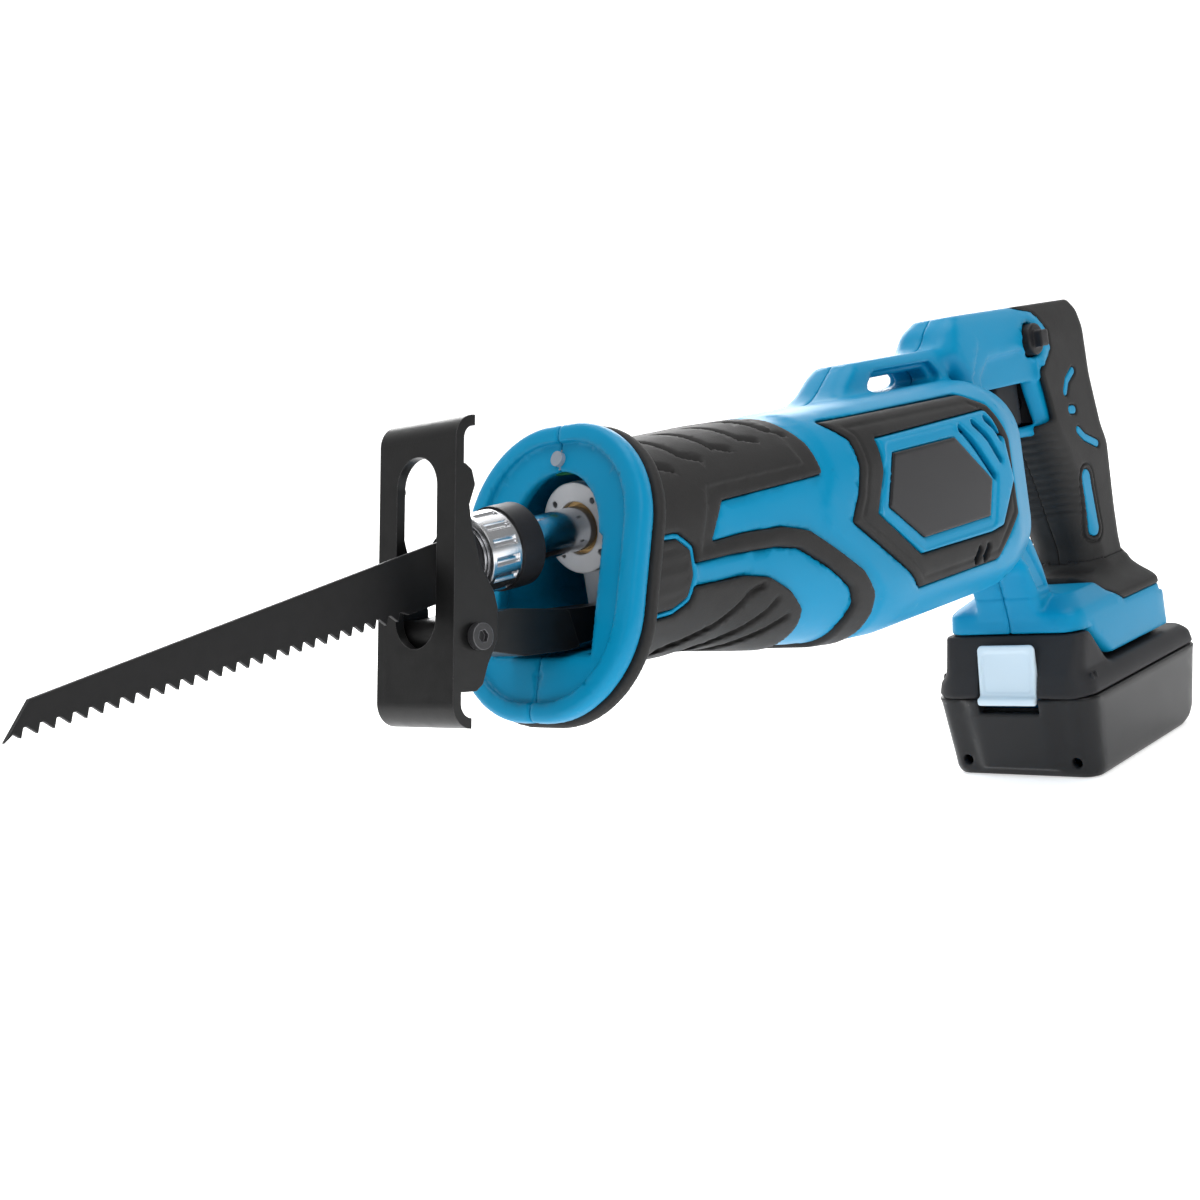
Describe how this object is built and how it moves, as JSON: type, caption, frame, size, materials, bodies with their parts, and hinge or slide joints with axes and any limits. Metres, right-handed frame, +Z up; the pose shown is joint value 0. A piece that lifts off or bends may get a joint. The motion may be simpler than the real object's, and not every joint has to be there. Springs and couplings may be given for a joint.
{
  "type": "cordless reciprocating saw",
  "caption": "Cordless reciprocating saw with a tilting shoe, a quick-release blade clamp, a D-shaped rear handle with a trigger, and a slide-on battery it stands on.",
  "frame": {"origin": "middle of the battery's flat foot, on the plane that the tool is mirrored about", "axes": "+X runs to the rear of the tool, the blade points to -X, +Z is up and square to the battery's foot, and +Y completes a right-handed frame"},
  "size_m": [0.5541, 0.0822, 0.2005],
  "materials": {
    "left_shell": "moulded ABS, satin blue",
    "right_shell": "moulded ABS, satin blue",
    "nose_sleeve": "soft overmoulded rubber",
    "side_pads": "soft rubber",
    "side_bands": "soft rubber",
    "left_motor_cover": "moulded, satin blue",
    "right_motor_cover": "moulded, satin blue",
    "nameplates": "fine grain",
    "left_grip": "ribbed rubber",
    "right_grip": "ribbed rubber",
    "grip_inlays": "blue inlay",
    "base_cap": "soft rubber",
    "housing_screws": "black oxide",
    "lock_button": "moulded nylon",
    "trigger": "moulded nylon",
    "trigger_spring": "spring steel",
    "switch_body": "glass-filled nylon",
    "led_lens": "clear lens",
    "led_board": "solder mask",
    "gearbox_housing": "die cast",
    "gearbox_cover": "die cast",
    "nose_ring": "die cast",
    "front_bush": "sintered bronze",
    "rear_bush": "sintered bronze",
    "gear_axle": "ground",
    "gear_bush": "sintered bronze",
    "drive_gear": "sintered",
    "crank_pin": "ground",
    "plunger": "ground and hardened",
    "plunger_seal": "nitrile rubber",
    "clamp_body": "turned",
    "clamp_pin": "turned",
    "clamp_fins": "bright",
    "clamp_collar": "moulded nylon",
    "clamp_cap": "moulded nylon",
    "blade": "black coated steel",
    "shoe_plate": "black coated steel",
    "shoe_arm": "black coated steel",
    "shoe_pivot": "black oxide",
    "arm_screw": "zinc plated",
    "motor_can": "zinc plated",
    "motor_magnets": "sintered ferrite",
    "motor_end_bell": "glass-filled nylon",
    "carbon_brushes": "pressed carbon",
    "front_bearing": "ground",
    "rear_bearing": "ground",
    "rotor_shaft": "ground",
    "rotor_core": "laminated",
    "rotor_windings": "enamelled wire",
    "commutator": "copper segments",
    "cooling_fan": "moulded nylon",
    "pinion": "hobbed",
    "terminal_block": "moulded",
    "battery_upper": "moulded ABS",
    "battery_lower": "moulded ABS",
    "battery_cells": "shrink film",
    "battery_board": "solder mask",
    "latch_button": "moulded",
    "latch_spring": "spring steel"
  },
  "bodies": {
    "housing": {"left_shell": "left_shell", "right_shell": "right_shell", "nose_sleeve": "nose_sleeve", "side_pads": "side_pads", "side_bands": "side_bands", "left_motor_cover": "left_motor_cover", "right_motor_cover": "right_motor_cover", "nameplates": "nameplates", "left_grip": "left_grip", "right_grip": "right_grip", "grip_inlays": "grip_inlays", "base_cap": "base_cap", "housing_screws": "housing_screws", "switch_body": "switch_body", "led_lens": "led_lens", "led_board": "led_board", "gearbox_housing": "gearbox_housing", "gearbox_cover": "gearbox_cover", "nose_ring": "nose_ring", "front_bush": "front_bush", "rear_bush": "rear_bush", "gear_axle": "gear_axle", "plunger_seal": "plunger_seal", "shoe_arm": "shoe_arm", "shoe_pivot": "shoe_pivot", "arm_screw": "arm_screw", "motor_can": "motor_can", "motor_magnets": "motor_magnets", "motor_end_bell": "motor_end_bell", "carbon_brushes": "carbon_brushes", "front_bearing": "front_bearing", "rear_bearing": "rear_bearing", "terminal_block": "terminal_block"},
    "gear": {"drive_gear": "drive_gear", "crank_pin": "crank_pin", "gear_bush": "gear_bush"},
    "rotor": {"rotor_shaft": "rotor_shaft", "rotor_core": "rotor_core", "rotor_windings": "rotor_windings", "commutator": "commutator", "cooling_fan": "cooling_fan", "pinion": "pinion"},
    "plunger": {"plunger": "plunger", "clamp_body": "clamp_body", "clamp_pin": "clamp_pin", "clamp_cap": "clamp_cap"},
    "collar": {"clamp_fins": "clamp_fins", "clamp_collar": "clamp_collar"},
    "blade": {"blade": "blade"},
    "shoe": {"shoe_plate": "shoe_plate"},
    "trigger": {"trigger": "trigger", "trigger_spring": "trigger_spring"},
    "lock": {"lock_button": "lock_button"},
    "battery": {"battery_upper": "battery_upper", "battery_lower": "battery_lower", "battery_cells": "battery_cells", "battery_board": "battery_board", "latch_spring": "latch_spring"},
    "latch": {"latch_button": "latch_button"}
  },
  "joints": [
    {"name": "gear_spin", "type": "hinge", "parent": "housing", "child": "gear", "pos_m": [-0.222, 0, 0.134], "axis": [0, 0, 1], "continuous": true},
    {"name": "rotor_spin", "type": "hinge", "parent": "housing", "child": "rotor", "pos_m": [-0.12, 0, 0.134], "axis": [1, 0, 0], "continuous": true},
    {"name": "plunger_stroke", "type": "slide", "parent": "housing", "child": "plunger", "axis": [1, 0, 0], "range_m": [-0.01, 0.01]},
    {"name": "collar_twist", "type": "hinge", "parent": "plunger", "child": "collar", "pos_m": [-0.34, 0, 0.153], "axis": [1, 0, 0], "range_deg": [0, 35], "stiffness_Nm_per_rad": 0.6},
    {"name": "blade_release", "type": "slide", "parent": "plunger", "child": "blade", "axis": [-1, 0, 0], "range_m": [0, 0.03]},
    {"name": "shoe_tilt", "type": "hinge", "parent": "housing", "child": "shoe", "pos_m": [-0.3653, 0, 0.1323], "axis": [0, 1, 0], "range_deg": [-30, 0]},
    {"name": "trigger_pull", "type": "slide", "parent": "housing", "child": "trigger", "axis": [1, 0, 0], "range_m": [0, 0.006], "stiffness_N_per_m": 600, "deforming": ["trigger_spring"]},
    {"name": "lock_push", "type": "slide", "parent": "housing", "child": "lock", "axis": [0, 1, 0], "range_m": [0, 0.005], "stiffness_N_per_m": 500},
    {"name": "battery_slide", "type": "slide", "parent": "housing", "child": "battery", "axis": [-1, 0, 0], "range_m": [0, 0.09]},
    {"name": "latch_press", "type": "slide", "parent": "battery", "child": "latch", "axis": [0, 0, -1], "range_m": [0, 0.003], "stiffness_N_per_m": 1500, "deforming": ["latch_spring"]}
  ],
  "couplings": [
    {"joint": "rotor_spin", "follows": "gear_spin", "ratio": -4.5}
  ]
}
